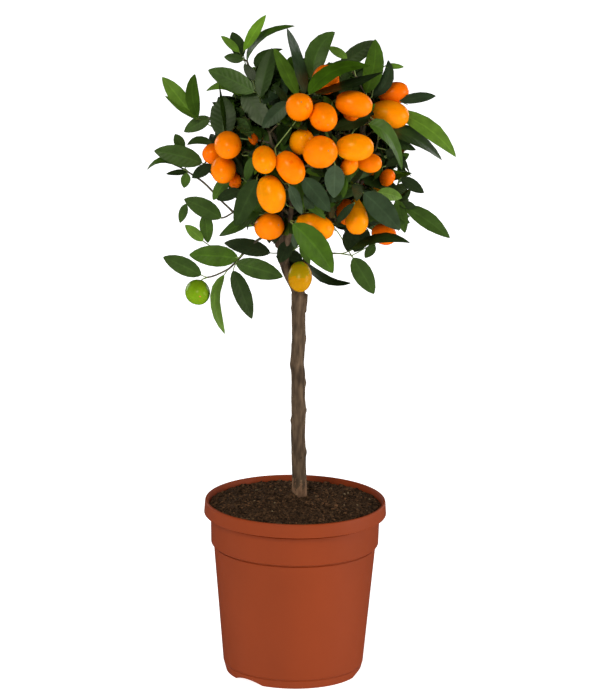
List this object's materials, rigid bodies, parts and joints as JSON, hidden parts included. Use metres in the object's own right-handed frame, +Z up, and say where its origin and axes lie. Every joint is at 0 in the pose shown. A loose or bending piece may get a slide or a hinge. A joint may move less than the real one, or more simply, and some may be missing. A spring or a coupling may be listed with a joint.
{
  "type": "kumquat tree in a pot",
  "caption": "Small kumquat tree grown as a round crown of leaves and orange fruit on a bare stem, in a round brown plastic pot.",
  "frame": {"origin": "middle of the pot's underside, on the surface that it stands on", "axes": "+Z up, -Y towards the viewer of the picture, +X to that viewer's right"},
  "size_m": [0.317, 0.284, 0.702],
  "materials": {
    "terracotta_plastic": "satin, terracotta brown",
    "peat_soil": "moist crumbly peat",
    "bark": "fine ridged grey-brown bark",
    "leaf_green": "leathery, half gloss",
    "young_leaf_green": "leathery, half gloss"
  },
  "bodies": {
    "root": {"pot": "terracotta_plastic", "soil": "peat_soil", "trunk": "bark", "bough_back": "bark", "bough_back_right": "bark", "bough_front": "bark", "bough_front_right": "bark", "bough_left": "bark", "bough_left_leader": "bark", "bough_right": "bark", "foliage_back_left": "leaf_green", "foliage_back_right": "leaf_green", "foliage_front": "leaf_green", "foliage_front_left": "leaf_green", "foliage_front_right": "leaf_green", "foliage_heart": "leaf_green", "foliage_left": "leaf_green", "foliage_low_back": "leaf_green", "foliage_low_front": "leaf_green", "foliage_low_left": "leaf_green", "foliage_low_right": "leaf_green", "foliage_right": "leaf_green", "foliage_top_back": "leaf_green", "foliage_top_left": "leaf_green", "foliage_top_right": "leaf_green", "spray_back_high": "young_leaf_green", "spray_back_left": "young_leaf_green", "spray_back_low": "young_leaf_green", "spray_back_right": "young_leaf_green", "spray_front_left": "young_leaf_green", "spray_front_right": "young_leaf_green", "spray_hanging_front": "young_leaf_green", "spray_hanging_left": "young_leaf_green", "spray_hanging_right": "young_leaf_green", "spray_left": "young_leaf_green", "spray_left_high": "young_leaf_green", "spray_left_low": "young_leaf_green", "spray_right": "young_leaf_green", "spray_right_high": "young_leaf_green", "spray_right_low": "young_leaf_green", "spray_top_left": "young_leaf_green", "spray_top_right": "young_leaf_green"}
  },
  "joints": []
}
